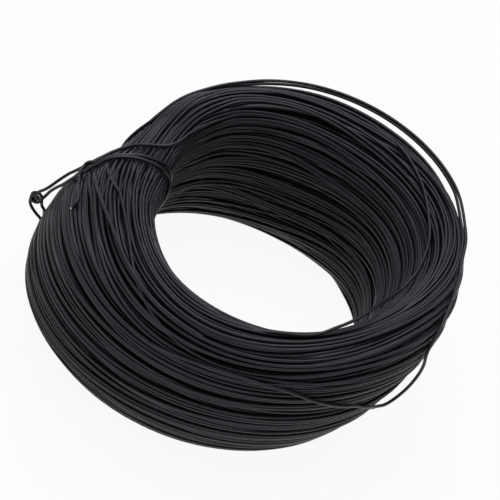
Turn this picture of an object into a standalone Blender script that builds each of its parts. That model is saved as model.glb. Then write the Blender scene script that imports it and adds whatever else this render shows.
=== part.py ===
"""A coil of coated binding wire, bound once with its own end.

Metres, +Z up. The coil lies on its lower end with the eye upright, and the origin
is on the floor under the middle of the outline.
"""

import math

import bmesh
import bpy
from mathutils import Matrix, Vector
from mathutils.bvhtree import BVHTree

MM = 0.001

# Wire
WIRE_DIAMETER = 1.2 * MM
CLEARANCE = 0.3 * MM
TUBE_RESOLUTION = 2
LONG_STEP = 4 * WIRE_DIAMETER
TIE_STEP = 1.6 * WIRE_DIAMETER
SHARPEST_STEP = math.radians(22)
EASING_PASSES = 4

# Bundle of turns, before it settles: the eye and the width of the bundle round it
EYE_RADIUS = 48.5 * MM
BUNDLE_WIDTH = 26.5 * MM
COIL_RADIUS = EYE_RADIUS + BUNDLE_WIDTH
COIL_HEIGHT = 70.0 * MM
SECTION_EXPONENT = 2.4
FOOT_WIDTH = 7.0 * MM
COIL_STEPS = 50

# Turns that show in the solid: fine ones on the ends, bunches of turns on the walls
END_RIDGES = 14
WALL_RIDGES = 7
END_RIDGE_DEPTH = WIRE_DIAMETER / 2
WALL_RIDGE_DEPTH = WIRE_DIAMETER
END_REACH = math.radians(52)

# Lean of the stack: each turn lies level, further over than the one below
LEAN = math.radians(16.4)
LEAN_TOWARDS = math.radians(-17.8)

# How far the settled bundle departs from a true ring, and the azimuth of a crest of each:
# it lies to one side, its eye and its outer wall are slightly three-cornered, and its top
# is tilted and a little saddled
OUTER_SHIFT = 1.5 * MM
OUTER_SHIFT_AZIMUTH = math.radians(150)
OUTER_CORNERS = 2.5 * MM
OUTER_CORNER_AZIMUTH = math.radians(70)
EYE_SHIFT = 3.5 * MM
EYE_SHIFT_AZIMUTH = math.radians(0)
EYE_CORNERS = 3.5 * MM
EYE_CORNER_AZIMUTH = math.radians(20)
TOP_TILT = 3.5 * MM
TOP_TILT_AZIMUTH = math.radians(100)
TOP_SADDLE = 1.5 * MM
TOP_SADDLE_AZIMUTH = math.radians(110)

# Waist where the tie draws the bundle together
WAIST_AZIMUTH = math.radians(160)
WAIST_HALF_ANGLE = math.radians(25)
WAIST_OUTER = 5.7 * MM
WAIST_INNER = 6.5 * MM
WAIST_TOP = 8.3 * MM
TIE_SLACK = 0.8 * MM
WAIST_UNDER = WIRE_DIAMETER + 2 * CLEARANCE + TIE_SLACK

# The tie also rolls the top of the bundle in over the eye
ROLL_AZIMUTH = math.radians(168)
ROLL_HALF_ANGLE = math.radians(28)
WAIST_ROLL = 6.6 * MM

# Routes over the bundle, each point chosen by hand where the wire bends: azimuth in degrees,
# angle round the section in degrees (0 outermost, 90 on top, 180 innermost), and the
# stand-off in wire diameters
INNER_END_ROUTE = (
    (110, 123, 0), (125, 126, 0), (140, 125, 0), (150, 115, 0), (157, 100, 0), (163, 82, 0),
    (167, 63, 0), (173, 57, 0), (178, 51, 0), (179, 40, 0), (179, 25, 0.75), (181, 12, 2.5),
    (183, 5, 4.75), (183.5, 0, 5.25), (183, -5, 2.5), (182, -10, 0.25), (178, -25, 0),
    (171, -45, 0), (164, -62, 0), (161, -74, 0),
)
TIE_LOOP_ROUTE = (
    (157, 270, 0), (161, 225, 0), (169, 185, 0), (172, 155, 0.25), (171, 128, 0), (175, 108, 0),
    (177, 85, 0), (180, 65, 0), (183, 50, 0), (183, 30, 0), (182, 15, 0.5), (182.5, 7, 1.75),
)
TIE_LOOP_END_ROUTE = (
    (182.5, 0, 1.25), (184, -4, 0.25), (184, -15, 0), (180, -30, 0), (175, -48, 0), (171, -64, 0),
    (168, -80, 0),
)
TIE_TAIL_ROUTE = (
    (167, 168, 0), (164, 138, 0), (168, 110, 0), (173, 90, 0), (176, 78, 0), (178, 67, 0.5),
    (178.5, 58, 1), (177, 49, 1.25), (175, 41, 1), (178, 39, 1.25), (183, 43, 1.25),
    (187, 43, 0.5), (192, 45, 0), (195, 43, 0), (196, 38, 0),
)
LOOSE_UPPER_ROUTE = (
    (156, 34, 0), (150, 53, 0), (143, 69, 0), (133, 70, 0.25), (120, 67, 0.75), (105, 69, 1.5),
    (90, 69, 1.75), (75, 69, 1.5), (58, 70, 1.75), (43, 71, 1.75), (34, 71, 1.5), (25, 71, 0.75),
    (15, 77, 0), (3, 83, 0), (-10, 77, 0), (-20, 64, 0), (-28, 49, 0), (-31, 37, 0.25),
    (-29, 22, 0.5), (-28, 11, 1.25), (-30, 3, 1.5), (-32, -4, 0.5), (-38, -1, 0), (-50, 9, 0),
    (-63, 21, 0), (-76, 30, 0), (-90, 31, 0), (-118, 21, 0),
)
LOOSE_LOWER_ROUTE = (
    (151, 38, 0), (139, 57, 0), (126, 63, 0.25), (110, 64, 0.5), (95, 64, 0.75), (80, 64, 1),
    (62, 65, 0.75), (47, 66, 0.75), (34, 67, 0.25), (24, 67, 0), (4, 64, 0), (-6, 60, 0),
)
EYE_TURN_ROUTE = (
    (66, 90, 0), (49, 103, 0), (32, 120, 0), (17, 133, 0), (5, 144, 0.5), (-10, 152, 2),
    (-20, 150, 2.25), (-32, 140, 1.25), (-44, 125, 0.5), (-57, 113, 0), (-72, 101, 0),
    (-100, 93, 0),
)
CROSSING_TURN_ROUTE = (
    (185, 57, 0), (191, 63, 0), (201, 70, 0), (213, 72, 0), (228, 66, 0), (241, 59, 0),
    (250, 56, 0),
)

# The tie's curl beside the bend of the inner end: its middle as on a route, then its form
CURL_MIDDLE = (182, 3, 3.75)
CURL_RADIUS = 1.3 * WIRE_DIAMETER
CURL_PITCH = 1.6 * WIRE_DIAMETER
CURL_START = math.radians(-75)
CURL_SWEEP = math.radians(300)
CURL_POINTS = 12

# Finishes: colour, metallic, roughness
COATING = ((0.014, 0.014, 0.016, 1.0), 0.0, 0.42)

WIRE_RADIUS = WIRE_DIAMETER / 2
RESTING_LIFT = WIRE_RADIUS + CLEARANCE
SECTION_RADIUS = BUNDLE_WIDTH / 2
SECTION_MIDDLE = EYE_RADIUS + SECTION_RADIUS
WIDEST_FOOT = 0.9 * SECTION_RADIUS
SMALL_ANGLE = 0.01
POINTS_PER_SPAN = 24
CLEARING_TRIES = 4
MERGE_DISTANCE = 0.01 * MM


def clear_scene():
    """Remove what the scene holds."""
    for obj in list(bpy.data.objects):
        bpy.data.objects.remove(obj, do_unlink=True)


def coating_material(name):
    """Return one piece's own black coating."""
    colour, metallic, roughness = COATING
    material = bpy.data.materials.new(name)
    material.use_nodes = True
    shader = material.node_tree.nodes["Principled BSDF"]
    shader.inputs["Base Color"].default_value = colour
    shader.inputs["Metallic"].default_value = metallic
    shader.inputs["Roughness"].default_value = roughness
    return material


def signed_power(value, power):
    """Return the power of a value's size, with the value's sign."""
    return math.copysign(abs(value) ** power, value)


def foot_cut():
    """Return the share of the full oval's height that the flat foot takes away."""
    reach = min(FOOT_WIDTH / 2, WIDEST_FOOT) / SECTION_RADIUS
    return (1 - (1 - reach ** SECTION_EXPONENT) ** (1 / SECTION_EXPONENT)) / 2


def true_section(angle):
    """Return the radius and height of the ring's section before it settles."""
    power = 2 / SECTION_EXPONENT
    cut = foot_cut()
    radius = SECTION_MIDDLE + SECTION_RADIUS * signed_power(math.cos(angle), power)
    share = 0.5 + 0.5 * signed_power(math.sin(angle), power)
    height = COIL_HEIGHT * max(share - cut, 0) / (1 - cut)
    return radius, height


def lobes(azimuth, count, size, crest):
    """Return how far a number of even lobes reaches at one azimuth."""
    return size * math.cos(count * (azimuth - crest))


def bell(azimuth, middle, half_angle):
    """Return 1 at the middle azimuth, falling smoothly to 0 at the half angle on either side."""
    away = math.remainder(azimuth - middle, math.tau)
    if abs(away) >= half_angle:
        return 0.0
    return math.cos(away / half_angle * math.pi / 2) ** 2


def settle(radius, height, azimuth):
    """Return the place that a point of the true ring takes in the settled bundle.

    The section is stretched between its own outer and inner radius, its underside
    and its top, and then leans with the stack. At the waist the tie draws the foot of
    the inner side out from the eye and rolls its top in over it.
    """
    drawn = bell(azimuth, WAIST_AZIMUTH, WAIST_HALF_ANGLE)
    rolled = bell(azimuth, ROLL_AZIMUTH, ROLL_HALF_ANGLE)
    level = height / COIL_HEIGHT
    outer = COIL_RADIUS - WAIST_OUTER * drawn
    outer += lobes(azimuth, 1, OUTER_SHIFT, OUTER_SHIFT_AZIMUTH)
    outer += lobes(azimuth, 3, OUTER_CORNERS, OUTER_CORNER_AZIMUTH)
    inner = EYE_RADIUS + WAIST_INNER * drawn * (1 - level) - WAIST_ROLL * rolled * level
    inner += lobes(azimuth, 1, EYE_SHIFT, EYE_SHIFT_AZIMUTH)
    inner += lobes(azimuth, 3, EYE_CORNERS, EYE_CORNER_AZIMUTH)
    top = COIL_HEIGHT - WAIST_TOP * drawn
    top += lobes(azimuth, 1, TOP_TILT, TOP_TILT_AZIMUTH)
    top += lobes(azimuth, 2, TOP_SADDLE, TOP_SADDLE_AZIMUTH)
    under = WAIST_UNDER * drawn
    across = (radius - EYE_RADIUS) / BUNDLE_WIDTH
    out = inner + across * (outer - inner)
    up = under + level * (top - under)
    lean = math.tan(LEAN) * (up - COIL_HEIGHT / 2)
    return Vector((
        out * math.cos(azimuth) + lean * math.cos(LEAN_TOWARDS),
        out * math.sin(azimuth) + lean * math.sin(LEAN_TOWARDS),
        up,
    ))


def on_bundle(azimuth, angle, lift):
    """Return a point that stands off the settled bundle by the lift."""
    section = true_section(angle)
    ahead = settle(*true_section(angle + SMALL_ANGLE), azimuth)
    behind = settle(*true_section(angle - SMALL_ANGLE), azimuth)
    round_coil = settle(*section, azimuth + SMALL_ANGLE) - settle(*section, azimuth - SMALL_ANGLE)
    return settle(*section, azimuth) + lift * round_coil.cross(ahead - behind).normalized()


def ridge_angles():
    """Return the section angles of crests and troughs in turn, with each trough's depth.

    They run from the outermost point over the outer wall's foot, so that the profile
    goes down its outer side first, and come back over the top end.
    """
    half_pi = math.pi / 2
    stretches = (
        (-(half_pi - END_REACH), half_pi - END_REACH, WALL_RIDGES, WALL_RIDGE_DEPTH),
        (half_pi - END_REACH, half_pi + END_REACH, END_RIDGES, END_RIDGE_DEPTH),
        (half_pi + END_REACH, 3 * half_pi - END_REACH, WALL_RIDGES, WALL_RIDGE_DEPTH),
        (3 * half_pi - END_REACH, 3 * half_pi + END_REACH, END_RIDGES, END_RIDGE_DEPTH),
    )
    angles = []
    for start, end, ridges, depth in stretches:
        for turn in range(ridges):
            width = (end - start) / ridges
            angles.append((start + turn * width, depth))
            angles.append((start + (turn + 0.5) * width, 0.0))
    return angles


def ring_profile():
    """Return the points of the turned profile, from its outer wall round to it again."""
    points = []
    for angle, depth in reversed(ridge_angles()):
        radius, height = true_section(angle)
        after = true_section(angle + SMALL_ANGLE)
        before = true_section(angle - SMALL_ANGLE)
        tangent = Vector((after[0] - before[0], after[1] - before[1])).normalized()
        place = Vector((radius, height)) - depth * Vector((tangent.y, -tangent.x))
        if height <= 0:
            place = Vector((radius, 0))
        points.append(place)
    return points


def make_coil(parts):
    """Turn the ridged profile into a ring and let it settle."""
    mesh = bpy.data.meshes.new("coil_profile")
    outline = [(point.x, 0, point.y) for point in ring_profile()]
    edges = [(index, (index + 1) % len(outline)) for index in range(len(outline))]
    mesh.from_pydata(outline, edges, [])
    profile = bpy.data.objects.new("coil_profile", mesh)
    parts.objects.link(profile)
    screw = profile.modifiers.new("turn", "SCREW")
    screw.angle = math.tau
    screw.steps = COIL_STEPS
    screw.render_steps = COIL_STEPS
    screw.use_merge_vertices = True
    screw.merge_threshold = MERGE_DISTANCE
    ring = evaluated_mesh(profile, "coil")
    bpy.data.objects.remove(profile, do_unlink=True)
    for vertex in ring.vertices:
        azimuth = math.atan2(vertex.co.y, vertex.co.x)
        vertex.co = settle(math.hypot(vertex.co.x, vertex.co.y), vertex.co.z, azimuth)
    face_outwards(ring)
    coil = bpy.data.objects.new("coil", ring)
    coil.data.materials.clear()
    coil.data.materials.append(coating_material("coil_coating"))
    parts.objects.link(coil)
    return coil


def evaluated_mesh(obj, name):
    """Return a new mesh of an object with its modifiers or bevel carried out."""
    graph = bpy.context.evaluated_depsgraph_get()
    graph.update()
    mesh = bpy.data.meshes.new_from_object(obj.evaluated_get(graph))
    mesh.name = name
    return mesh


def face_outwards(mesh):
    """Turn every face of a closed mesh outwards."""
    work = bmesh.new()
    work.from_mesh(mesh)
    bmesh.ops.recalc_face_normals(work, faces=work.faces)
    work.to_mesh(mesh)
    work.free()


def route_points(route):
    """Return the middle points of a wire that a route lays over the bundle."""
    return [
        on_bundle(math.radians(azimuth), math.radians(angle), RESTING_LIFT + stand_off * WIRE_DIAMETER)
        for azimuth, angle, stand_off in route
    ]


def curl_points():
    """Return the points of the tie's curl, an open turn whose ends pass side by side."""
    azimuth, angle, stand_off = CURL_MIDDLE
    azimuth = math.radians(azimuth)
    angle = math.radians(angle)
    lift = RESTING_LIFT + stand_off * WIRE_DIAMETER
    middle = on_bundle(azimuth, angle, lift)
    outwards = (on_bundle(azimuth, angle, 2 * lift) - middle).normalized()
    down = on_bundle(azimuth, angle - SMALL_ANGLE, lift) - middle
    down = (down - down.dot(outwards) * outwards).normalized()
    along = down.cross(outwards)
    points = []
    for index in range(CURL_POINTS):
        share = index / (CURL_POINTS - 1)
        turn = CURL_START + share * CURL_SWEEP
        spoke = math.cos(turn) * down + math.sin(turn) * outwards
        advance = CURL_PITCH * CURL_SWEEP / math.tau * (share - 0.5)
        points.append(middle + CURL_RADIUS * spoke + advance * along)
    return points


def smooth_route(points, longest):
    """Return points on a smooth curve through the given ones, closer where it bends."""
    ends = [points[0] * 2 - points[1]] + list(points) + [points[-1] * 2 - points[-2]]
    fine = []
    for index in range(1, len(ends) - 2):
        p0, p1, p2, p3 = ends[index - 1:index + 3]
        for step in range(POINTS_PER_SPAN):
            t = step / POINTS_PER_SPAN
            fine.append(0.5 * (
                2 * p1 + (p2 - p0) * t + (2 * p0 - 5 * p1 + 4 * p2 - p3) * t ** 2
                + (3 * p1 - p0 - 3 * p2 + p3) * t ** 3
            ))
    fine.append(points[-1])
    kept = [fine[0]]
    length = 0.0
    bend = 0.0
    for before, here, after in zip(fine, fine[1:], fine[2:]):
        length += (here - before).length
        bend += (here - before).angle(after - here, 0.0)
        if length >= longest or bend >= SHARPEST_STEP:
            kept.append(here)
            length = 0.0
            bend = 0.0
    kept.append(fine[-1])
    return kept


def bed_of(parts):
    """Return a search tree over the faces of all that is laid so far."""
    graph = bpy.context.evaluated_depsgraph_get()
    graph.update()
    corners = []
    faces = []
    for obj in parts.objects:
        evaluated = obj.evaluated_get(graph)
        mesh = evaluated.to_mesh()
        first = len(corners)
        corners.extend(evaluated.matrix_world @ vertex.co for vertex in mesh.vertices)
        faces.extend([first + index for index in face.vertices] for face in mesh.polygons)
        evaluated.to_mesh_clear()
    return BVHTree.FromPolygons(corners, faces)


def stand_clear(bed, point):
    """Return a point of a wire's middle line, moved out until the wire is clear of the bed."""
    point = point.copy()
    for _ in range(CLEARING_TRIES):
        nearest, normal, _, distance = bed.find_nearest(point)
        away = point - nearest
        outside = away.dot(normal) > 0
        if outside and distance >= RESTING_LIFT:
            break
        direction = away.normalized() if outside else normal
        point = nearest + RESTING_LIFT * direction
    point.z = max(point.z, WIRE_RADIUS)
    return point


def lay_over(bed, points):
    """Return the points pushed clear of the bed, with each push eased along the wire."""
    for _ in range(EASING_PASSES):
        pushes = [stand_clear(bed, point) - point for point in points]
        ends = [pushes[0]] + pushes + [pushes[-1]]
        eased = [
            0.25 * before + 0.5 * here + 0.25 * after
            for before, here, after in zip(ends, ends[1:], ends[2:])
        ]
        points = [point + push for point, push in zip(points, eased)]
    return [stand_clear(bed, point) for point in points]


def make_wire(parts, name, points, longest):
    """Lay one wire through its points, over the bundle and the wires that are laid already."""
    points = lay_over(bed_of(parts), smooth_route(points, longest))
    curve = bpy.data.curves.new(name, "CURVE")
    curve.dimensions = "3D"
    curve.bevel_depth = WIRE_RADIUS
    curve.bevel_resolution = TUBE_RESOLUTION
    curve.use_fill_caps = True
    spline = curve.splines.new("POLY")
    spline.points.add(len(points) - 1)
    for target, point in zip(spline.points, points):
        target.co = (*point, 1)
    wire = bpy.data.objects.new(name, curve)
    curve.materials.append(coating_material(name + "_coating"))
    parts.objects.link(wire)
    return wire


def stand_on_origin(parts):
    """Move the whole part so that the origin is on the floor under its middle."""
    bpy.context.view_layer.update()
    graph = bpy.context.evaluated_depsgraph_get()
    corners = []
    for obj in parts.objects:
        evaluated = obj.evaluated_get(graph)
        mesh = evaluated.to_mesh()
        corners.extend(evaluated.matrix_world @ vertex.co for vertex in mesh.vertices)
        evaluated.to_mesh_clear()
    middle = [
        (min(c[axis] for c in corners) + max(c[axis] for c in corners)) / 2 for axis in range(2)
    ]
    shift = Matrix.Translation(Vector((-middle[0], -middle[1], 0)))
    for obj in parts.objects:
        obj.matrix_world = shift @ obj.matrix_world


def main():
    """Model the coil, its loose turns and its tie."""
    clear_scene()
    parts = bpy.data.collections.new("binding_wire_coil")
    bpy.context.scene.collection.children.link(parts)
    make_coil(parts)
    make_wire(parts, "loose_turn_lower", route_points(LOOSE_LOWER_ROUTE), LONG_STEP)
    make_wire(parts, "loose_turn_upper", route_points(LOOSE_UPPER_ROUTE), LONG_STEP)
    make_wire(parts, "eye_turn", route_points(EYE_TURN_ROUTE), LONG_STEP)
    make_wire(parts, "crossing_turn", route_points(CROSSING_TURN_ROUTE), LONG_STEP)
    make_wire(parts, "inner_end", route_points(INNER_END_ROUTE), TIE_STEP)
    loop = route_points(TIE_LOOP_ROUTE) + curl_points() + route_points(TIE_LOOP_END_ROUTE)
    make_wire(parts, "tie_loop", loop, TIE_STEP)
    make_wire(parts, "tie_tail", route_points(TIE_TAIL_ROUTE), TIE_STEP)
    stand_on_origin(parts)


main()
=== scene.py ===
"""The looks of a tied coil of black coated binding wire.

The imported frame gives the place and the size. Over it this script winds the visible
turns as real wires that wander, bunch and pass over one another, lays the loose turns
and the tie on them, and finishes every wire as satin black plastic over steel.
"""

from __future__ import annotations

import logging
import math
from dataclasses import dataclass, field

import bmesh
import bpy
import numpy as np
from mathutils import Matrix, Vector
from mathutils.bvhtree import BVHTree


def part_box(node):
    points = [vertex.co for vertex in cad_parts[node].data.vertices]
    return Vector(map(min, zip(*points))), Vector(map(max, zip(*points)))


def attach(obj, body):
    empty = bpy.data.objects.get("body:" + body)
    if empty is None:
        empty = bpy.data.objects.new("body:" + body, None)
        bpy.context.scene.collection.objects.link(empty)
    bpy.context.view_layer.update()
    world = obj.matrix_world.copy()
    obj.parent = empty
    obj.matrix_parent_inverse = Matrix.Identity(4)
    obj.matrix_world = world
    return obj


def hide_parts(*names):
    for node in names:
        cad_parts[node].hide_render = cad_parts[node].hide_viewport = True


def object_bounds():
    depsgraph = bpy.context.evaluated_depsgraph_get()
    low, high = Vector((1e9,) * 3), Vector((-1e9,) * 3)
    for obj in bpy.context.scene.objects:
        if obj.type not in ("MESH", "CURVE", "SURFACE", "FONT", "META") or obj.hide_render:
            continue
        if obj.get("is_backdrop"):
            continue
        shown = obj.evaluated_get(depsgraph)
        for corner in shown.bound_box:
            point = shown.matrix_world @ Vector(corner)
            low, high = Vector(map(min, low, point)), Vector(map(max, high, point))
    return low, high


logging.basicConfig(level=logging.INFO, format="%(message)s")
log = logging.getLogger("coil")

MM = 0.001
WHITE = (1.0, 1.0, 1.0, 1.0)
BODY = "root"

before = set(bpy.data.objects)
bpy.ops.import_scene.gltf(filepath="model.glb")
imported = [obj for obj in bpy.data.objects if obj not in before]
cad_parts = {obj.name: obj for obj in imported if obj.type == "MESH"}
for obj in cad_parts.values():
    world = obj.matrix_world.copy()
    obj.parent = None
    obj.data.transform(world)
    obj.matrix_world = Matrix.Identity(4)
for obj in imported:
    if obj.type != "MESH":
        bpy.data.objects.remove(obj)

# a wire's bends, each one an azimuth, a section angle and a height
Route = tuple[tuple[float, float, float], ...]


class Value:
    """A shader socket that can be used in sums, so that maths reads as maths."""

    def __init__(self, shader: ShaderTree, socket: bpy.types.NodeSocket | None) -> None:
        """Wrap one output socket of the tree, or nothing for a node that has none."""
        self.shader = shader
        self.socket = socket

    def _maths(self, operation: str, first: Value | float, second: Value | float) -> Value:
        """Return the result of one Math node with its two values or numbers."""
        return self.shader.add("ShaderNodeMath", {"operation": operation}, {0: first, 1: second})

    def __add__(self, other: Value | float) -> Value:
        """Return self + other."""
        return self._maths("ADD", self, other)

    def __radd__(self, other: Value | float) -> Value:
        """Return other + self."""
        return self._maths("ADD", other, self)

    def __sub__(self, other: Value | float) -> Value:
        """Return self - other."""
        return self._maths("SUBTRACT", self, other)

    def __rsub__(self, other: Value | float) -> Value:
        """Return other - self."""
        return self._maths("SUBTRACT", other, self)

    def __mul__(self, other: Value | float) -> Value:
        """Return self * other."""
        return self._maths("MULTIPLY", self, other)

    def __rmul__(self, other: Value | float) -> Value:
        """Return other * self."""
        return self._maths("MULTIPLY", other, self)

    def clamped(self) -> Value:
        """Return the value held between 0 and 1."""
        return self._maths("MINIMUM", self._maths("MAXIMUM", self, 0.0), 1.0)


class ShaderTree:
    """The node tree of a material or world, with one way to add a node."""

    def __init__(self, owner: bpy.types.Material | bpy.types.World) -> None:
        """Start with no nodes.

        Args:
            owner: The material or world.
        """
        self.owner = owner
        owner.use_nodes = True
        self.tree = owner.node_tree
        self.tree.nodes.clear()

    def add(self, kind: str, settings: dict | None = None, inputs: dict | None = None,
            output: int | str = 0) -> Value:
        """Add a node, set it up and connect it.

        Args:
            kind: The node's type.
            settings: Properties of the node, set first.
            inputs: Values, colours or links, by socket name or number.
            output: The output that is returned.

        Returns:
            The chosen output as a value.
        """
        node = self.tree.nodes.new(kind)
        for key, setting in (settings or {}).items():
            setattr(node, key, setting)
        for key, value in (inputs or {}).items():
            if isinstance(value, Value):
                self.tree.links.new(value.socket, node.inputs[key])
            else:
                node.inputs[key].default_value = value
        return Value(self, node.outputs[output] if node.outputs else None)

    def noise(self, scale: float, detail: float = 2.0, roughness: float = 0.5) -> Value:
        """Return noise that stays with the object.

        Args:
            scale: How fine it is.
            detail: How many finer layers it has.
            roughness: How strong the finer layers are.

        Returns:
            The noise, from 0 to 1.
        """
        place = self.add("ShaderNodeTexCoord", output="Object")
        return self.add("ShaderNodeTexNoise", {}, {
            "Vector": place, "Scale": scale, "Detail": detail, "Roughness": roughness})

    def finish(self, surface: Value) -> bpy.types.Material:
        """Return the finished material, with the surface connected to its output."""
        self.add("ShaderNodeOutputMaterial", {}, {"Surface": surface})
        return self.owner


# the sockets of a mix of two colours, by number because their names repeat
MIX_SHARE, MIX_FIRST, MIX_SECOND, MIX_RESULT = 0, 6, 7, 2


@dataclass(frozen=True)
class CoatingFinish:
    """Black plastic drawn over steel wire: satin, a little uneven, faintly violet."""

    name: str = "black_coating"
    colour: tuple[float, float, float] = (0.0100, 0.0096, 0.0124)
    pale_colour: tuple[float, float, float] = (0.0190, 0.0182, 0.0226)
    roughness: float = 0.40
    roughness_spread: float = 0.12
    specular: float = 0.45
    specular_tint: tuple[float, float, float] = (0.90, 0.87, 1.0)
    cloud_scale: float = 90.0
    cloud_detail: float = 3.0
    cloud_roughness: float = 0.6
    paleness_of_tone: float = 0.75
    paleness_of_cloud: float = 0.5
    least_pale: float = 0.12
    roughness_of_cloud: float = 0.6
    roughness_of_tone: float = 0.4
    grain_scale: float = 2600.0
    grain_height: float = 0.01 * MM
    grain_strength: float = 0.15

    def build(self) -> bpy.types.Material:
        """Build the coating from a tone for each wire, broad clouds and a fine grain.

        Returns:
            The material.
        """
        shader = ShaderTree(bpy.data.materials.new(self.name))
        tone = shader.add("ShaderNodeAttribute", {"attribute_name": "tone"}, output="Fac")
        cloud = shader.noise(self.cloud_scale, self.cloud_detail, self.cloud_roughness)
        paleness = tone * self.paleness_of_tone + cloud * self.paleness_of_cloud - self.least_pale
        colour = shader.add("ShaderNodeMix", {"data_type": "RGBA"}, {
            MIX_SHARE: paleness.clamped(), MIX_FIRST: (*self.colour, 1),
            MIX_SECOND: (*self.pale_colour, 1)}, MIX_RESULT)
        uneven = self.roughness_of_cloud * cloud + self.roughness_of_tone * tone
        roughness = self.roughness - self.roughness_spread / 2 + self.roughness_spread * uneven
        bump = shader.add("ShaderNodeBump", {}, {
            "Strength": self.grain_strength, "Distance": self.grain_height,
            "Height": shader.noise(self.grain_scale)})
        surface = shader.add("ShaderNodeBsdfPrincipled", {}, {
            "Base Color": colour, "Roughness": roughness, "Normal": bump,
            "Specular IOR Level": self.specular, "Specular Tint": (*self.specular_tint, 1)})
        return shader.finish(surface)


@dataclass(frozen=True)
class ShadeFinish:
    """The unlit heart of the bundle, seen only through gaps between turns."""

    name: str = "bundle_shade"
    colour: tuple[float, float, float] = (0.010, 0.010, 0.012)
    streak_scale: float = 700.0
    roughness: float = 0.7
    roughness_spread: float = 0.2
    specular: float = 0.1

    def build(self) -> bpy.types.Material:
        """Build the heart's dull dark surface: a shaded copy of the coating, which is painted
        shade.

        Returns:
            The material.
        """
        shader = ShaderTree(bpy.data.materials.new(self.name))
        streak = shader.noise(self.streak_scale)
        # the coating's black with a low specular and a high roughness, so that the heart reads as
        # painted shade of the inner turns
        surface = shader.add("ShaderNodeBsdfPrincipled", {}, {
            "Base Color": (*self.colour, 1), "Specular IOR Level": self.specular,
            "Roughness": self.roughness + self.roughness_spread * streak})
        return shader.finish(surface)


@dataclass(frozen=True)
class SteelFinish:
    """The bright cut end of the steel core."""

    name: str = "cut_steel"
    colour: tuple[float, float, float] = (0.78, 0.77, 0.74)
    scratch_scale: float = 5000.0
    metallic: float = 0.9
    roughness: float = 0.3
    roughness_spread: float = 0.25

    def build(self) -> bpy.types.Material:
        """Build the scratched bare metal.

        Returns:
            The material.
        """
        shader = ShaderTree(bpy.data.materials.new(self.name))
        scratch = shader.noise(self.scratch_scale)
        surface = shader.add("ShaderNodeBsdfPrincipled", {}, {
            "Base Color": (*self.colour, 1), "Metallic": self.metallic,
            "Roughness": self.roughness + self.roughness_spread * scratch})
        return shader.finish(surface)


@dataclass(frozen=True)
class FloorFinish:
    """A white floor that shows white to the camera and keeps a light shadow."""

    name: str = "pale_floor"
    colour: tuple[float, float, float] = (0.9, 0.9, 0.9)
    own_light: float = 0.93

    def build(self) -> bpy.types.Material:
        """Build the floor's paint, with its own light for the camera and for reflections.

        Returns:
            The material.
        """
        shader = ShaderTree(bpy.data.materials.new(self.name))
        paint = shader.add("ShaderNodeBsdfDiffuse", {}, {"Color": (*self.colour, 1)})
        glow = shader.add("ShaderNodeEmission", {}, {"Color": WHITE, "Strength": 1.0})
        seen = shader.add("ShaderNodeLightPath", output="Is Camera Ray")
        glossy = shader.add("ShaderNodeLightPath", output="Is Glossy Ray")
        share = (seen + glossy).clamped() * self.own_light
        surface = shader.add("ShaderNodeMixShader", {}, {0: share, 1: paint, 2: glow})
        return shader.finish(surface)


@dataclass(frozen=True)
class Lobes:
    """How far evenly spaced lobes depart from a true ring."""

    count: int
    size: float
    crest: float

    def at(self, azimuth: np.ndarray) -> np.ndarray:
        """Return the departure at each azimuth."""
        return self.size * np.cos(self.count * (azimuth - self.crest))


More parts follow.
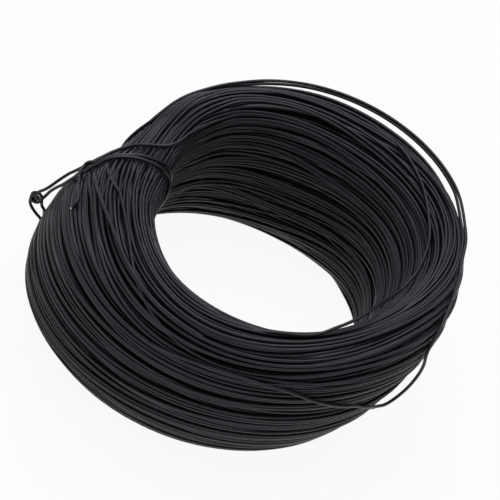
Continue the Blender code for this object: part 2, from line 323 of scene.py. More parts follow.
@dataclass(frozen=True)
class Bundle:
    """The settled form of the wound turns, the same as the frame's coil.

    The section is an oval with a flat foot, stretched between its own outer and inner
    radius, underside and top at each azimuth, and leaning with the stack. At the waist
    the tie draws it together and rolls its top in over the eye.
    """

    wire_diameter: float = 1.2 * MM
    clearance: float = 0.3 * MM
    eye_radius: float = 48.5 * MM
    width: float = 26.5 * MM
    height: float = 70.0 * MM
    exponent: float = 2.4
    foot_width: float = 7.0 * MM
    lean: float = math.radians(16.4)
    lean_towards: float = math.radians(-17.8)
    outer_shift: Lobes = Lobes(1, 1.5 * MM, math.radians(150))
    outer_corners: Lobes = Lobes(3, 2.5 * MM, math.radians(70))
    eye_shift: Lobes = Lobes(1, 3.5 * MM, math.radians(0))
    eye_corners: Lobes = Lobes(3, 3.5 * MM, math.radians(20))
    top_tilt: Lobes = Lobes(1, 3.5 * MM, math.radians(100))
    top_saddle: Lobes = Lobes(2, 1.5 * MM, math.radians(110))
    waist_azimuth: float = math.radians(160)
    waist_half_angle: float = math.radians(25)
    waist_outer: float = 5.7 * MM
    waist_inner: float = 6.5 * MM
    waist_top: float = 8.3 * MM
    tie_slack: float = 0.8 * MM
    roll_azimuth: float = math.radians(168)
    roll_half_angle: float = math.radians(28)
    waist_roll: float = 6.6 * MM
    small_angle: float = 0.01
    slices_measured: int = 360
    angles_measured: int = 180

    @property
    def coil_radius(self) -> float:
        """Return the ring's outer radius."""
        return self.eye_radius + self.width

    @property
    def wire_radius(self) -> float:
        """Return half the wire's diameter."""
        return self.wire_diameter / 2

    @property
    def foot_cut(self) -> float:
        """Return the share of the full oval's height that the flat foot takes away."""
        reach = self.foot_width / self.width
        return (1 - (1 - reach ** self.exponent) ** (1 / self.exponent)) / 2

    @property
    def lean_slope(self) -> float:
        """Return how far the stack leans for each unit of height."""
        return math.tan(self.lean)

    @staticmethod
    def bell(azimuth: np.ndarray, middle: float, half_angle: float) -> np.ndarray:
        """Return 1 at the middle azimuth, falling smoothly to 0 at the half angle."""
        away = np.abs(np.angle(np.exp(1j * (azimuth - middle))))
        return np.cos(np.clip(away / half_angle, 0, 1) * math.pi / 2) ** 2

    def span(self, azimuth: np.ndarray) -> tuple[np.ndarray, np.ndarray]:
        """Return the underside and the top at each azimuth.

        Args:
            azimuth: Angles about the eye.

        Returns:
            Two arrays of heights.
        """
        drawn = self.bell(azimuth, self.waist_azimuth, self.waist_half_angle)
        under = (self.wire_diameter + 2 * self.clearance + self.tie_slack) * drawn
        top = self.height + self.top_tilt.at(azimuth) + self.top_saddle.at(azimuth)
        return under, top - self.waist_top * drawn

    def walls(self, azimuth: np.ndarray, height: np.ndarray) -> tuple[np.ndarray, np.ndarray]:
        """Return the inner and outer radius at each azimuth and height.

        Args:
            azimuth: Angles about the eye.
            height: Heights over the floor.

        Returns:
            Two arrays of radii.
        """
        drawn = self.bell(azimuth, self.waist_azimuth, self.waist_half_angle)
        rolled = self.bell(azimuth, self.roll_azimuth, self.roll_half_angle)
        under, top = self.span(azimuth)
        level = np.clip((height - under) / (top - under), 0, 1)
        inner = self.eye_radius + self.eye_shift.at(azimuth) + self.eye_corners.at(azimuth)
        inner = inner + self.waist_inner * drawn * (1 - level) - self.waist_roll * rolled * level
        outer = self.coil_radius + self.outer_shift.at(azimuth) + self.outer_corners.at(azimuth)
        return inner, outer - self.waist_outer * drawn

    def section(self, azimuth: np.ndarray, angle: np.ndarray,
                inset: float | np.ndarray = 0.0) -> tuple[np.ndarray, np.ndarray]:
        """Return the radius and height of the settled section, before the lean.

        Args:
            azimuth: Angles about the eye.
            angle: Angles round the section, 0 outermost and a quarter turn on top.
            inset: How far inside the outline.

        Returns:
            Radii and heights in metres.
        """
        under, top = self.span(azimuth)
        full = (top - under) / (1 - self.foot_cut)
        power = 2 / self.exponent
        cosine, sine = np.cos(angle), np.sin(angle)
        across = np.sign(cosine) * np.abs(cosine) ** power
        upward = np.sign(sine) * np.abs(sine) ** power
        height = np.maximum(top - full / 2 + (full / 2 - inset) * upward, under + inset)
        inner, outer = self.walls(azimuth, height)
        radius = (outer + inner) / 2 + ((outer - inner) / 2 - inset) * across
        return radius, height

    def place(self, radius: np.ndarray, height: np.ndarray, azimuth: np.ndarray) -> np.ndarray:
        """Return points in space for points of the section, with the lean.

        Args:
            radius: Radii about the eye.
            height: Heights over the floor.
            azimuth: Angles about the eye.

        Returns:
            The points, before the shift to the frame's origin.
        """
        lean = self.lean_slope * (height - self.height / 2)
        return np.stack([
            radius * np.cos(azimuth) + lean * math.cos(self.lean_towards),
            radius * np.sin(azimuth) + lean * math.sin(self.lean_towards),
            height,
        ], axis=-1)

    def point(self, azimuth: float, angle: float, inset: float = 0.0) -> np.ndarray:
        """Return one point of the outline, or of the form that far inside it."""
        at = np.array([azimuth])
        return self.place(*self.section(at, np.array([angle]), inset), at)[0]

    def frame_shift(self) -> Vector:
        """Return the step from the eye's own axis to the frame's origin.

        Returns:
            The step that lays this form's box over the box of the frame's coil.
        """
        azimuth, angle = np.meshgrid(
            np.linspace(0, math.tau, self.slices_measured, endpoint=False),
            np.linspace(0, math.tau, self.angles_measured, endpoint=False), indexing="ij")
        points = self.place(*self.section(azimuth, angle), azimuth).reshape(-1, 3)
        own = (points.min(axis=0) + points.max(axis=0)) / 2
        low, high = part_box("coil")
        return Vector(((low.x + high.x) / 2 - own[0], (low.y + high.y) / 2 - own[1], 0))

    def on_surface(self, azimuth: float, angle: float, lift: float) -> Vector:
        """Return a point that stands off the bundle.

        Args:
            azimuth: Angle about the eye.
            angle: Angle round the section.
            lift: Distance from the outline.

        Returns:
            The point, before the shift to the frame's origin.
        """
        step = self.small_angle
        round_coil = self.point(azimuth + step, angle) - self.point(azimuth - step, angle)
        round_section = self.point(azimuth, angle + step) - self.point(azimuth, angle - step)
        normal = np.cross(round_coil, round_section)
        return Vector(self.point(azimuth, angle) + lift * normal / np.linalg.norm(normal))


@dataclass
class Girth:
    """Measures round the bundle's section, slice by slice, that space the turns evenly."""

    bundle: Bundle
    slices: int = 120
    samples: int = 720
    start: float = math.radians(-45)

    def __post_init__(self) -> None:
        """Measure each slice."""
        self.azimuth = np.linspace(0, math.tau, self.slices, endpoint=False)
        self.angle = self.start + np.linspace(0, math.tau, self.samples + 1)
        radius, height = self.bundle.section(self.azimuth[:, None], self.angle[None, :])
        steps = np.hypot(np.diff(radius), np.diff(height))
        lengths = np.concatenate([np.zeros((self.slices, 1)), np.cumsum(steps, axis=1)], axis=1)
        self.length = lengths[:, -1]
        self.share = lengths / lengths[:, -1:]

    def angles(self, shares: np.ndarray) -> np.ndarray:
        """Return section angles for shares of the girth.

        Args:
            shares: Shares by turn and slice.

        Returns:
            Angles by turn and slice.
        """
        wrapped = shares % 1.0
        return np.stack([
            np.interp(wrapped[:, index], self.share[index], self.angle)
            for index in range(self.slices)
        ], axis=1)

    def across(self, first: np.ndarray, second: np.ndarray) -> np.ndarray:
        """Return the distances between two sets of shares, the short way round."""
        return np.abs((first - second + 0.5) % 1.0 - 0.5) * self.length


def linked(name: str, data: bpy.types.ID) -> bpy.types.Object:
    """Return a new object of the data, linked to the scene.

    Args:
        name: The object's name.
        data: Its mesh, curve, lamp or camera.

    Returns:
        The object.
    """
    made = bpy.data.objects.new(name, data)
    bpy.context.scene.collection.objects.link(made)
    return made


def finished(name: str, work: bmesh.types.BMesh, finish: bpy.types.Material) -> bpy.types.Object:
    """Turn a worked mesh into an object with its finish.

    Args:
        name: The object's name.
        work: The worked mesh, which is freed.
        finish: The material.

    Returns:
        The object.
    """
    mesh = bpy.data.meshes.new(name)
    work.to_mesh(mesh)
    work.free()
    mesh.materials.append(finish)
    return linked(name, mesh)


def blended(before: np.ndarray, own: np.ndarray, after: np.ndarray,
            pull: float = 0.25) -> np.ndarray:
    """Return values drawn towards those before and after them by the pull of each."""
    return pull * before + (1 - 2 * pull) * own + pull * after


@dataclass
class Tubes:
    """Makes wires of round section from the points that they follow."""

    radius: float
    sides: int = 8
    weld: float = 0.02 * MM
    sharp: float = math.radians(60)

    def build(self, name: str, runs: np.ndarray | list[np.ndarray],
              closed: bool = False) -> bpy.types.Object:
        """Return one mesh object of all the runs.

        Args:
            name: The piece's name.
            runs: The points of each run, in the frame.
            closed: Whether each run closes on itself.

        Returns:
            The object, with its place in its mesh.
        """
        curve = bpy.data.curves.new(name + "_line", "CURVE")
        curve.dimensions = "3D"
        curve.bevel_depth = self.radius
        curve.bevel_resolution = (self.sides - 4) // 2  # 0 gives 4 sides, and each step 2 more
        curve.use_fill_caps = not closed
        for run in runs:
            spline = curve.splines.new("POLY")
            spline.points.add(len(run) - 1)
            flat = np.ones((len(run), 4), np.float32)
            flat[:, :3] = run
            spline.points.foreach_set("co", flat.ravel())
            spline.use_cyclic_u = closed
        line = linked(name + "_line", curve)
        bpy.context.view_layer.update()
        evaluated = line.evaluated_get(bpy.context.evaluated_depsgraph_get())
        mesh = bpy.data.meshes.new_from_object(evaluated)
        bpy.data.objects.remove(line, do_unlink=True)
        bpy.data.curves.remove(curve)
        if not closed:
            self._weld_caps(mesh)
        mesh.shade_smooth()
        mesh.set_sharp_from_angle(angle=self.sharp)
        mesh.name = name
        return linked(name, mesh)

    def _weld_caps(self, mesh: bpy.types.Mesh) -> None:
        """Join the loose caps to the tube.

        Args:
            mesh: The tube's mesh.
        """
        work = bmesh.new()
        work.from_mesh(mesh)
        bmesh.ops.remove_doubles(work, verts=work.verts, dist=self.weld)
        bmesh.ops.recalc_face_normals(work, faces=work.faces)
        work.to_mesh(mesh)
        work.free()


def dress(piece: bpy.types.Object, material: bpy.types.Material, tones: np.ndarray) -> None:
    """Give a wire its finish, and the tone that sets it off from its neighbours.

    Args:
        piece: The wire or wires.
        material: The finish.
        tones: One tone for each stretch, from 0 to 1, in the order of the mesh.
    """
    mesh = piece.data
    mesh.materials.clear()
    mesh.materials.append(material)
    share = np.linspace(0, len(tones), len(mesh.vertices), endpoint=False)
    attribute = mesh.attributes.new("tone", "FLOAT", "POINT")
    attribute.data.foreach_set("value", tones[share.astype(int)].astype(np.float32))


@dataclass(frozen=True)
class Level:
    """One level of turns: how close they lie at the waist, and how far they stray elsewhere.

    The tries are how many lines are drawn for each bunch, of which the lowest is kept.
    """

    name: str
    pitch: float
    largest_bunch: int
    stray: float
    drift: float
    tries: int
    sides: int


@dataclass
class WoundTurns:
    """The turns that show, laid one after another on the turns before them.

    Every turn follows a smooth closed line, and neighbours run in bunches. At the waist
    the tie holds them side by side. Elsewhere a bunch strays across the others and rides
    over them, which leaves dark gaps between bunches.
    """

    bundle: Bundle
    girth: Girth
    shift: Vector
    levels: tuple[Level, ...] = (
        Level("deep_turns", pitch=1.45 * MM, largest_bunch=5, stray=0.8 * MM,
              drift=2.0 * MM, tries=1, sides=6),
        Level("middle_turns", pitch=1.65 * MM, largest_bunch=4, stray=2.0 * MM,
              drift=3.0 * MM, tries=3, sides=6),
        Level("upper_turns", pitch=2.05 * MM, largest_bunch=3, stray=3.6 * MM,
              drift=4.5 * MM, tries=8, sides=8),
    )
    floor_inset: float = 3.7 * MM
    waist_fill: float = 1.4 * MM
    crest: float = -1.0 * MM
    squeeze: float = 0.5
    seed: int = 5
    hold_half_angle: float = math.radians(35)
    longest_stray: float = 3.0
    stray_waves: int = 4
    own_wander: float = 0.26 * MM
    own_waves: int = 9
    side_by_side: float = 1.28
    reach: int = 2
    settling: int = 7
    drift_waves: tuple[tuple[int, int], ...] = ((1, 1), (1, 2), (2, 1), (2, 3), (3, 2))
    sweeps: tuple[Lobes, ...] = (
        Lobes(1, 2.5 * MM, math.radians(-75)),
        Lobes(2, 2.5 * MM, math.radians(-30)),
        Lobes(3, 1.0 * MM, math.radians(-45)),
    )

    def __post_init__(self) -> None:
        """Work out how free the turns are to stray: 0 at the waist's middle, 1 far from it."""
        azimuth, waist = self.girth.azimuth, self.bundle.waist_azimuth
        self.free = 1 - np.sqrt(self.bundle.bell(azimuth, waist, self.hold_half_angle))

    def _line(self, random: np.random.Generator, size: float, waves: int) -> np.ndarray:
        """Return a smooth closed line that strays to both sides, but not at the waist.

        Args:
            random: The source of the draws.
            size: How far it strays.
            waves: The most waves in one turn.

        Returns:
            Distances across the turns, by slice.
        """
        azimuth = self.girth.azimuth
        line = sum(
            random.normal() / count * np.cos(count * azimuth + random.uniform(0, math.tau))
            for count in range(1, waves + 1))
        return size * line * self.free

    def _drift(self, random: np.random.Generator, size: float, shares: np.ndarray) -> np.ndarray:
        """Return how one level as a whole drifts round the section.

        Args:
            random: The source of the draws.
            size: How far it drifts.
            shares: The shares of the girth at the waist.

        Returns:
            Distances across the turns, by turn and slice.
        """
        azimuth, shares = self.girth.azimuth[None, :], shares[:, None]
        total = sum(
            np.cos(along * azimuth + across * math.tau * shares + random.uniform(0, math.tau))
            / along for along, across in self.drift_waves)
        return size * total / 2 * self.free

    def _rest(self, share: np.ndarray, laid: np.ndarray, heights: np.ndarray) -> np.ndarray:
        """Return how high one turn lies on those laid before it.

        Args:
            share: The turn's shares of the girth, by slice.
            laid: The shares of the turns laid before.
            heights: Their heights over the outline, below 0 inside it.

        Returns:
            Heights by slice.
        """
        wire = self.bundle.wire_diameter
        need = self.bundle.wire_radius - self.floor_inset + self.waist_fill * (1 - self.free)
        if len(laid):
            gap = self.girth.across(laid, share[None, :])
            lift = np.sqrt(np.maximum(wire ** 2 - gap ** 2, 0))
            need = np.maximum(need, np.where(gap < wire, heights + lift, need).max(axis=0))
        around = range(-self.reach, self.reach + 1)
        height = np.max([np.roll(need, step) for step in around], axis=0)
        for _ in range(self.settling):
            height = blended(np.roll(height, 1), height, np.roll(height, -1))
        return height - (1 - self.squeeze) * np.maximum(height - self.crest, 0)

    def _bunch_sizes(self, random: np.random.Generator, level: Level, turns: int) -> list[int]:
        """Share a level's turns out to bunches.

        Args:
            random: The source of the draws.
            level: The level.
            turns: How many turns it has.

        Returns:
            How many turns run side by side in each bunch.
        """
        sizes = []
        while sum(sizes) < turns:
            drawn = int(random.integers(1, level.largest_bunch + 1))
            sizes.append(min(drawn, turns - sum(sizes)))
        return sizes

    def _lay_level(self, random: np.random.Generator, level: Level, laid: np.ndarray,
                   heights: np.ndarray) -> tuple[np.ndarray, np.ndarray]:
        """Lay one level, bunch by bunch in a mixed order.

        Args:
            random: The source of the draws.
            level: The level.
            laid: The shares of the turns laid before.
            heights: Their heights.

        Returns:
            The shares and heights of all the turns laid so far.
        """
        turns = int(self.girth.length.min() / level.pitch)
        sizes = self._bunch_sizes(random, level, turns)
        firsts = np.concatenate([[0], np.cumsum(sizes)[:-1]])
        drift = self._drift(random, level.drift, np.arange(turns) / turns)
        drift = drift + sum(sweep.at(self.girth.azimuth) for sweep in self.sweeps) * self.free
        tight = self.side_by_side * self.bundle.wire_diameter / self.girth.length
        for number in random.permutation(len(sizes)):
            first, size = int(firsts[number]), sizes[number]
            middle = first + (size - 1) / 2
            best = None
            for _ in range(level.tries):
                stray = level.stray * min(random.exponential(), self.longest_stray)
                line = drift[first + size // 2] + self._line(random, stray, self.stray_waves)
                shares, rests = laid, heights
                for turn in range(first, first + size):
                    own = self._line(random, self.own_wander, self.own_waves)
                    spaced = (turn - middle) * (tight * self.free + (1 - self.free) / turns)
                    share = middle / turns + spaced + (line + own) / self.girth.length
                    rest = self._rest(share, shares, rests)
                    shares = np.concatenate([shares, share[None, :]])
                    rests = np.concatenate([rests, rest[None, :]])
                mean = rests[-size:].mean()
                if best is None or mean < best[0]:
                    best = (mean, shares, rests)
            _, laid, heights = best
        return laid, heights

    def build(self, finish: bpy.types.Material) -> list[bpy.types.Object]:
        """Return one piece for each level of turns.

        Args:
            finish: The coating.

        Returns:
            The pieces, deepest first.
        """
        random = np.random.default_rng(self.seed)
        laid = np.empty((0, self.girth.slices))
        heights = np.empty((0, self.girth.slices))
        pieces = []
        for level in self.levels:
            before = len(laid)
            laid, heights = self._lay_level(random, level, laid, heights)
            azimuth = np.broadcast_to(self.girth.azimuth[None, :], laid[before:].shape)
            angle = self.girth.angles(laid[before:])
            radius, height = self.bundle.section(azimuth, angle, -heights[before:])
            under, _ = self.bundle.span(azimuth)
            height = np.maximum(height, under + self.bundle.wire_radius)
            points = self.bundle.place(radius, height, azimuth) + np.array(self.shift)
            tubes = Tubes(self.bundle.wire_radius, level.sides)
            piece = tubes.build(level.name, points, closed=True)
            dress(piece, finish, random.random(len(points)))
            pieces.append(piece)
        return pieces


@dataclass
class BundleHeart:
    """The dark heart under the turns that show: a sheet of painted shade in place of the inner
    turns.
    """

    bundle: Bundle
    shift: Vector
    inset: float = 3.5 * MM
    around: int = 96
    steps: int = 144
    spoke: float = 3.0
    weld: float = 0.0001

    def build(self, finish: bpy.types.Material) -> bpy.types.Object:
        """Return the heart: a circle spun into a ring, then settled as the bundle is.

        Args:
            finish: The shade.

        Returns:
            The heart.
        """
        work = bmesh.new()
        made = bmesh.ops.create_circle(work, segments=self.around, radius=1.0)
        bmesh.ops.rotate(work, verts=made["verts"], matrix=Matrix.Rotation(math.pi / 2, 3, "X"))
        bmesh.ops.translate(work, verts=made["verts"], vec=(self.spoke, 0, 0))
        bmesh.ops.spin(work, geom=work.verts[:] + work.edges[:], cent=(0, 0, 0), axis=(0, 0, 1),
                       angle=math.tau, steps=self.steps, use_merge=True)
        bmesh.ops.remove_doubles(work, verts=work.verts, dist=self.weld)
        for vertex in work.verts:
            azimuth = math.atan2(vertex.co.y, vertex.co.x)
            angle = math.atan2(vertex.co.z, math.hypot(vertex.co.x, vertex.co.y) - self.spoke)
            vertex.co = Vector(self.bundle.point(azimuth, angle, self.inset)) + self.shift
        bmesh.ops.recalc_face_normals(work, faces=work.faces)
        piece = finished("bundle_heart", work, finish)
        piece.data.shade_smooth()
        return piece


@dataclass(frozen=True)
class Curl:
    """The tie's small curl, which winds in on itself and out again.

    Its middle is given as a bend is, its radius and pitch in wire diameters.
    """

    middle: tuple[float, float, float] = (183.2, 4, 4.1)
    radius: float = 1.7
    narrowing: float = 0.75
    narrowing_power: int = 3
    pitch: float = 0.45
    start: float = math.radians(-100)
    sweep: float = math.radians(1060)
    count: int = 60

    def points(self, bundle: Bundle) -> list[Vector]:
        """Return the curl's points.

        Args:
            bundle: What it stands off from.

        Returns:
            The points, before the shift to the frame's origin.
        """
        azimuth, angle, stand_off = self.middle
        azimuth, angle = math.radians(azimuth), math.radians(angle)
        wire = bundle.wire_diameter
        lift = bundle.wire_radius + bundle.clearance + stand_off * wire
        middle = bundle.on_surface(azimuth, angle, lift)
        outwards = (bundle.on_surface(azimuth, angle, 2 * lift) - middle).normalized()
        down = bundle.on_surface(azimuth, angle - bundle.small_angle, lift) - middle
        down = (down - down.dot(outwards) * outwards).normalized()
        along = down.cross(outwards)
        points = []
        for share in np.linspace(0, 1, self.count).tolist():
            turn = self.start + share * self.sweep
            spoke = math.cos(turn) * down + math.sin(turn) * outwards
            narrowed = self.narrowing * math.sin(math.pi * share) ** self.narrowing_power
            reach = self.radius * (1 - narrowed)
            advance = self.pitch * self.sweep / math.tau * (share - 0.5)
            points.append(middle + wire * (reach * spoke + advance * along))
        return points


@dataclass(frozen=True)
class Stretch:
    """One stretch of the wire that lies over the turns, by its bends.

    A bend is an azimuth and a section angle in degrees, and a height in wire diameters:
    at 0 the wire rests on its bed, over 0 it stands off the bundle, and below 0 it runs
    in among the turns.
    """

    node: str
    bends: Route
    step: float
    curl: Curl | None = None
    after: Route = ()
    is_cut: bool = False


@dataclass
class Bed:
    """What a loose stretch is laid on: all that is laid already."""

    highest: float = 4.0 * MM
    lowest: float = -0.6 * MM
    close: float = 0.02 * MM
    tries: int = 14
    trees: list[BVHTree] = field(default_factory=list)

    def add(self, piece: bpy.types.Object) -> None:
        """Add a piece that is laid."""
        bpy.context.view_layer.update()
        self.trees.append(BVHTree.FromObject(piece, bpy.context.evaluated_depsgraph_get()))

    def gap(self, point: Vector) -> float:
        """Return the distance from a point to the nearest surface of the bed."""
        found = (tree.find_nearest(point, self.highest)[3] for tree in self.trees)
        return min(self.highest if distance is None else distance for distance in found)

    def resting_lift(self, foot: Vector, normal: Vector, radius: float) -> float:
        """Return where a wire comes to rest that is let down on the bed.

        Args:
            foot: A point on the bundle's outline.
            normal: The way out of the bundle there.
            radius: The wire's radius.

        Returns:
            How far the wire's middle is from the outline.
        """
        lift = self.highest
        for _ in range(self.tries):
            room = self.gap(foot + lift * normal) - radius
            if room < self.close or lift <= self.lowest:
                break
            lift -= room
        return max(lift, self.lowest)


def eased(values: np.ndarray, times: int) -> np.ndarray:
    """Return values smoothed along a line, its ends kept.

    Args:
        values: One value or row for each point.
        times: How often each one is drawn towards its neighbours.

    Returns:
        The smoothed values.
    """
    for _ in range(times):
        padded = np.concatenate([values[:1], values, values[-1:]])
        values = blended(padded[:-2], padded[1:-1], padded[2:])
    return values


def smooth_through(corners: np.ndarray, per_span: int) -> np.ndarray:
    """Return points on a smooth curve (Catmull-Rom) through the given rows.

    Args:
        corners: The rows.
        per_span: How many points each span gets.

    Returns:
        The finer rows.
    """
    before = 2 * corners[:1] - corners[1:2]
    beyond = 2 * corners[-1:] - corners[-2:-1]
    ends = np.concatenate([before, corners, beyond])
    t = np.linspace(0, 1, per_span, endpoint=False)[:, None]
    spans = [
        0.5 * (2 * p1 + (p2 - p0) * t + (2 * p0 - 5 * p1 + 4 * p2 - p3) * t ** 2
               + (3 * p1 - p0 - 3 * p2 + p3) * t ** 3)
        for p0, p1, p2, p3 in zip(ends, ends[1:], ends[2:], ends[3:])
    ]
    return np.concatenate([*spans, corners[-1:]])


def evenly(rows: np.ndarray, points: np.ndarray, step: float) -> np.ndarray:
    """Return rows taken at even steps along the points that they belong to.

    Args:
        rows: What is taken.
        points: The points in space, one for each row.
        step: The distance between the rows taken.

    Returns:
        The rows at even steps.
    """
    lengths = np.concatenate([[0], np.cumsum(np.linalg.norm(np.diff(points, axis=0), axis=1))])
    wanted = np.linspace(0, lengths[-1], max(int(lengths[-1] / step), 2))
    return np.stack([np.interp(wanted, lengths, column) for column in rows.T], axis=1)


@dataclass
class LooseStretch:
    """Lays one loose stretch over the bed, resting on the turns under it."""

    bundle: Bundle
    shift: Vector
    stretch: Stretch
    points_per_span: int = 16
    widening: int = 2
    smoothing: int = 24
    rounding: int = 4
    sides: int = 12
    tone: float = 0.6

    def _feet(self, bends: np.ndarray, lift: float = 0.0) -> np.ndarray:
        """Return points on the outline, or off it by a lift, for rows of bends."""
        return np.array([
            self.bundle.on_surface(azimuth, angle, lift) for azimuth, angle, _ in bends.tolist()])

    def _run(self, route: Route, bed: Bed) -> np.ndarray:
        """Return a run over the bundle, resting on the bed.

        Args:
            route: The run's bends.
            bed: What is laid already.

        Returns:
            The run's points.
        """
        bends = np.array(route, float)
        bends[:, :2] = np.radians(bends[:, :2])
        fine = smooth_through(bends, self.points_per_span)
        rows = evenly(fine, self._feet(fine), self.stretch.step)
        feet = self._feet(rows)
        normals = self._feet(rows, 1.0) - feet
        feet = feet + np.array(self.shift)
        radius = self.bundle.wire_radius
        rest = np.array([
            bed.resting_lift(Vector(foot), Vector(normal), radius)
            for foot, normal in zip(feet, normals)])
        padded = np.pad(rest, self.widening, mode="edge")
        firsts = range(2 * self.widening + 1)
        rest = np.max([padded[first:first + len(rest)] for first in firsts], axis=0)
        rest = eased(rest, self.smoothing)
        stand_off = rows[:, 2]
        free = np.clip(1 + stand_off, 0, 1)
        among = radius + stand_off * self.bundle.wire_diameter
        hung = np.clip(stand_off, 0, 1)
        over = np.maximum(rest, (1 - hung) * rest + hung * among)
        lift = free * over + (1 - free) * among
        return feet + normals * lift[:, None]

    def lay(self, bed: Bed) -> np.ndarray:
        """Return the stretch's middle line.

        Args:
            bed: What is laid already.

        Returns:
            Its points.
        """
        line = self._run(self.stretch.bends, bed)
        if self.stretch.curl:
            curl = np.array(self.stretch.curl.points(self.bundle)) + np.array(self.shift)
            after = self._run(self.stretch.after, bed)
            curl = np.concatenate([line[-1:], curl, after[:1]])
            curl = smooth_through(curl, self.points_per_span)
            line = np.concatenate([line[:-1], curl, after[1:]])
        line = evenly(line, line, self.stretch.step)
        line = eased(line, self.rounding)
        line[:, 2] = np.maximum(line[:, 2], self.bundle.wire_radius)
        return line

    def build(self, bed: Bed, finish: bpy.types.Material) -> tuple[bpy.types.Object, np.ndarray]:
        """Return the stretch and the points that it follows.

        Args:
            bed: What is laid already; the stretch is added to it.
            finish: The coating.

        Returns:
            The piece and its middle line.
        """
        line = self.lay(bed)
        tubes = Tubes(self.bundle.wire_radius, self.sides)
        piece = tubes.build(self.stretch.node + "_wire", [line])
        dress(piece, finish, np.array([self.tone]))
        bed.add(piece)
        return piece, line


@dataclass
class CutEnd:
    """The bright steel that shows where the tail is cut."""

    diameter: float = 0.9 * MM
    stands_out: float = 0.7 * MM
    chamfer: float = 0.1 * MM
    chamfer_segments: int = 2
    segments: int = 20
    points_back: int = 2

    def build(self, line: np.ndarray, finish: bpy.types.Material) -> bpy.types.Object:
        """Return the steel end.

        Args:
            line: The tail's middle line, its last point at the cut.
            finish: The steel.

        Returns:
            The piece.
        """
        end = Vector(line[-1])
        along = (end - Vector(line[-1 - self.points_back])).normalized()
        work = bmesh.new()
        radius = self.diameter / 2
        bmesh.ops.create_cone(work, cap_ends=True, segments=self.segments, radius1=radius,
                              radius2=radius, depth=2 * self.stands_out)
        rim = [edge for edge in work.edges if all(vertex.co.z > 0 for vertex in edge.verts)]
        bmesh.ops.bevel(work, geom=rim, offset=self.chamfer, segments=self.chamfer_segments,
                        profile=0.5, affect="EDGES", material=-1)
        turn = along.to_track_quat("Z", "Y").to_matrix().to_4x4()
        bmesh.ops.transform(work, matrix=Matrix.Translation(end) @ turn, verts=work.verts)
        return finished("tail_core", work, finish)


LONG_STEP = 0.8 * MM
TIE_STEP = 0.45 * MM

STRETCHES = (
    Stretch("loose_turn_lower", (
        (156, 28, -1.5), (151, 38, -1), (147, 45, -0.75), (139, 57, -0.75),
        (126, 62, -0.25), (112, 64, 0.6), (95, 65, 1.15), (80, 66, 1.25), (62, 66, 1.3),
        (47, 67, 1.3), (34, 69, 1), (24, 72, 0.25), (14, 76, -0.5), (3, 81, -1.25),
        (-8, 77, -2),
    ), LONG_STEP),
    Stretch("loose_turn_upper", (
        (159, 26, -1.5), (156, 34, -0.5), (153, 43, 0), (150, 53, -0.25), (142, 58, -0.5),
        (134, 62, -0.5), (122, 64, -0.25), (110, 65, 0), (95, 66, 0), (80, 67, 0),
        (62, 67, 0), (47, 68, 0), (34, 70, 0), (24, 72, 0), (14, 76, 0), (3, 81, 0),
        (-10, 77, 0), (-20, 64, 0), (-28, 49, 0.1), (-30.5, 37, 0.5), (-29.5, 22, 1.25),
        (-29, 11, 1.75), (-30, 2, 2), (-33, -4, 1.5), (-39, -2, 0.5), (-47, 5, 0.1),
        (-56, 13, 0), (-66, 22, 0), (-76, 30, 0), (-90, 31, 0), (-106, 26, -0.5),
        (-118, 21, -1.5),
    ), LONG_STEP),
    Stretch("eye_turn", (
        (66, 90, -1.5), (58, 96, -0.5), (49, 103, 0), (32, 120, 0), (17, 133, 0),
        (5, 143, 0.5), (-8, 146, 1.25), (-20, 142, 2), (-32, 133, 2.25), (-43, 122, 2.2),
        (-54, 113, 1.75), (-66, 106, 0.75), (-80, 100, -0.25), (-98, 94, -2),
    ), LONG_STEP),
    Stretch("crossing_turn", (
        (184, 56, -1), (187, 59, 0), (191, 63, 0.25), (201, 70, 0.4), (213, 72, 0.4),
        (228, 66, 0.4), (241, 59, 0.25), (250, 56, -0.5), (258, 53, -1.5),
    ), LONG_STEP),
    Stretch("inner_end", (
        (110, 123, -2), (123, 126, -1.5), (133, 126, -0.5), (140, 125, 0), (150, 115, 0),
        (157, 100, 0), (162.5, 82, 0), (166, 63, 0), (172.5, 57, 0), (178, 50, 0),
        (179, 40, 0.25), (179.5, 27, 1), (181, 15, 2.25), (182, 10, 3.25),
        (181.5, 4.5, 4.5), (182, 1.5, 5.5), (182.5, -0.5, 5.25), (182.5, -3, 3.75),
        (181.5, -8, 1), (179.5, -14, 0), (176, -27, 0), (170, -48, 0), (164, -62, 0),
        (161, -74, 0),
    ), TIE_STEP),
    Stretch("tie_loop", (
        (157, 270, 0), (161, 225, 0), (169, 185, 0), (172, 155, 0), (171, 128, 0),
        (175, 108, 0), (177, 85, 0), (180, 65, 0), (183, 50, 0), (183.5, 35, 0.25),
        (183, 22, 0.75), (182.5, 12, 1.75),
    ), TIE_STEP, Curl(), (
        (182, 0, 1.5), (180.5, -4, 0.25), (178, -12, 0), (174.5, -30, 0), (172, -48, 0),
        (169.5, -64, 0), (167, -80, 0),
    )),
    Stretch("tie_tail", (
        (167, 168, -1.5), (165, 150, -0.5), (164, 138, 0), (168, 110, 0), (173, 90, 0),
        (176, 78, 0), (178, 66, 0), (180, 56, 0), (179.5, 49, 0), (179.5, 43, 0),
        (181.5, 42, 0), (184.5, 43, 0), (188, 43, 0), (192, 45, 0), (195, 43, 0),
        (196, 38, 0),
    ), TIE_STEP, is_cut=True),
)


@dataclass(frozen=True)
class Lamp:
    """One square studio lamp that faces the coil."""

    name: str
    place: tuple[float, float, float]
    side: float
    power: float

    def build(self) -> None:
        """Hang the lamp."""
        data = bpy.data.lights.new(self.name, "AREA")
        data.size = self.side
        data.energy = self.power
        lamp = linked(self.name, data)
        lamp.location = self.place
        lamp.rotation_euler = (-Vector(self.place)).to_track_quat("-Z", "Y").to_euler()


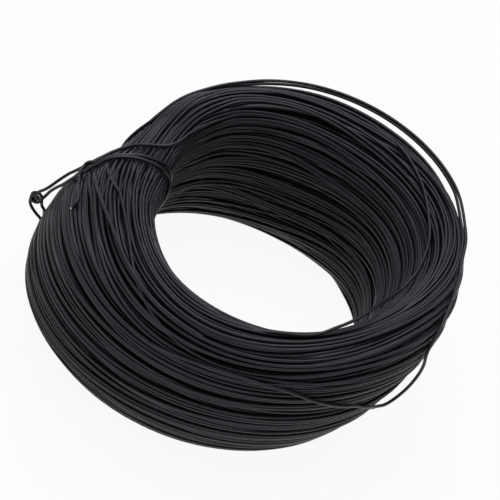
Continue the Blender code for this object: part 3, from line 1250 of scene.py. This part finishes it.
@dataclass
class Studio:
    """The floor, the lights and the camera."""

    bundle: Bundle
    shift: Vector
    elevation: float = math.radians(43.15)
    roll: float = math.radians(-17.27)
    distance: float = 600 * MM
    pixels_per_radius: float = 198.44
    picture_side: float = 500.0
    middle: tuple[float, float] = (247.8, 264.2)
    sensor: float = 36.0
    nearest_seen: float = 10 * MM
    floor_half_side: float = 4.0
    floor_gap: float = 0.2 * MM
    lamps: tuple[Lamp, ...] = (
        Lamp("overhead_lamp", (-0.05, 0.15, 1.15), 0.8, 6.4),
        Lamp("back_lamp", (-0.3, 1.0, 0.75), 0.4, 2.4),
        Lamp("right_lamp", (0.55, 0.4, 0.85), 0.4, 0.9),
    )
    soft_light: float = 0.28

    def build(self, floor_finish: FloorFinish) -> None:
        """Set up everything round the coil.

        Args:
            floor_finish: The floor's finish.
        """
        self._camera()
        self._floor(floor_finish)
        for lamp in self.lamps:
            lamp.build()
        self._world()
        bpy.context.scene.view_settings.view_transform = "Standard"

    def _camera(self) -> None:
        """Add the camera at the photograph's angle, with its tilt."""
        data = bpy.data.cameras.new("camera")
        data.sensor_width = self.sensor
        focal = self.pixels_per_radius * self.distance / self.bundle.coil_radius
        data.lens = self.sensor * focal / self.picture_side
        half = self.picture_side / 2
        data.shift_x = (half - self.middle[0]) / self.picture_side
        data.shift_y = (self.middle[1] - half) / self.picture_side
        data.clip_start = self.nearest_seen
        camera = linked("camera", data)
        right = Vector((1, 0, 0))
        forward = Vector((0, math.cos(self.elevation), -math.sin(self.elevation)))
        up = Vector((0, math.sin(self.elevation), math.cos(self.elevation)))
        across = math.cos(self.roll) * right - math.sin(self.roll) * up
        upward = math.sin(self.roll) * right + math.cos(self.roll) * up
        aim = Vector((0, 0, self.bundle.height / 2)) + self.shift
        turned = Matrix((across, upward, -forward)).transposed().to_4x4()
        camera.matrix_world = Matrix.Translation(aim - forward * self.distance) @ turned
        bpy.context.scene.camera = camera

    def _floor(self, finish: FloorFinish) -> None:
        """Add the plain floor.

        Args:
            finish: Its finish.
        """
        work = bmesh.new()
        bmesh.ops.create_grid(work, x_segments=1, y_segments=1, size=self.floor_half_side)
        bmesh.ops.translate(work, verts=work.verts, vec=(0, 0, -self.floor_gap))
        floor = finished("floor", work, finish.build())
        floor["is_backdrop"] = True

    def _world(self) -> None:
        """Light softly from all round, and show white to the camera."""
        world = bpy.data.worlds.new("studio")
        bpy.context.scene.world = world
        shader = ShaderTree(world)
        seen = shader.add("ShaderNodeLightPath", output="Is Camera Ray")
        strength = seen * (1 - self.soft_light) + self.soft_light
        light = shader.add("ShaderNodeBackground", {}, {"Color": WHITE, "Strength": strength})
        shader.add("ShaderNodeOutputWorld", {}, {"Surface": light})


def corners() -> list[list[float]]:
    """Return the present box of the whole object as plain lists."""
    return [[float(value) for value in corner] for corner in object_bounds()]


def place_piece(piece: bpy.types.Object, node: str) -> None:
    """Let a piece ride on the body and stand for its node.

    Args:
        piece: The piece.
        node: The frame's node that it replaces.
    """
    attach(piece, BODY)
    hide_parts(node)
    log.info("%s: %d faces", piece.name, len(piece.data.polygons))


def main() -> None:
    """Build the looks piece by piece."""
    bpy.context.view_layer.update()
    bundle = Bundle()
    shift = bundle.frame_shift()
    Studio(bundle, shift).build(FloorFinish())
    coating = CoatingFinish().build()
    place_piece(BundleHeart(bundle, shift).build(ShadeFinish().build()), "coil")
    bed = Bed()
    for piece in WoundTurns(bundle, Girth(bundle), shift).build(coating):
        place_piece(piece, "coil")
        bed.add(piece)
    for stretch in STRETCHES:
        piece, line = LooseStretch(bundle, shift, stretch).build(bed, coating)
        place_piece(piece, stretch.node)
        if stretch.is_cut:
            place_piece(CutEnd().build(line, SteelFinish().build()), stretch.node)


if __name__ == "__main__":
    main()
